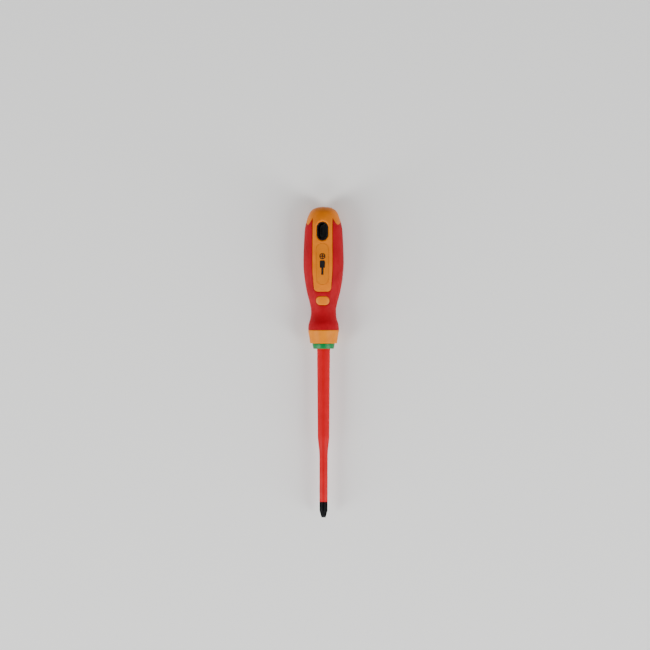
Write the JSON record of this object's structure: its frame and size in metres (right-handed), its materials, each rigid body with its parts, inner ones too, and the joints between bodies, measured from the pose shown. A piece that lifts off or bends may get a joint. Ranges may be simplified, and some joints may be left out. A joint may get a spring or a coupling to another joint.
{
  "type": "insulated screwdriver",
  "caption": "Insulated cross-slot screwdriver with a red sleeved blade, a waisted handle in hard and soft plastic, a flared finger guard and a hanging hole through the butt.",
  "frame": {"origin": "under the middle of the whole tool, on the surface it lies on", "axes": "+Y from the tip to the butt along the blade, +Z out of the label face, so the tool lies on its back; +X across"},
  "size_m": [0.0358, 0.2762, 0.0298],
  "materials": {
    "blackened_steel": "phosphate-blackened tool steel with a dull oiled sheen",
    "red_insulation": "semi-gloss extruded plastic sleeve",
    "yellow_insulation": "plain warning layer under the red one",
    "orange_yellow_core": "moulded polypropylene, satin",
    "red_soft_grip": "soft-touch moulded elastomer, matt",
    "yellow_collar": "moulded plastic, satin",
    "green_ring": "moulded plastic, glossy",
    "black_liner": "moulded plastic, matt",
    "label_inlay": "moulded plastic, satin, printed with a plain cross-tip sign"
  },
  "bodies": {
    "root": {"blade": "blackened_steel", "insulation_inner": "yellow_insulation", "insulation_outer": "red_insulation", "colour_ring": "green_ring", "collar": "yellow_collar", "handle_core": "orange_yellow_core", "soft_grip": "red_soft_grip", "hang_hole_liner": "black_liner", "front_plaque": "label_inlay", "back_plaque": "label_inlay"}
  },
  "joints": []
}
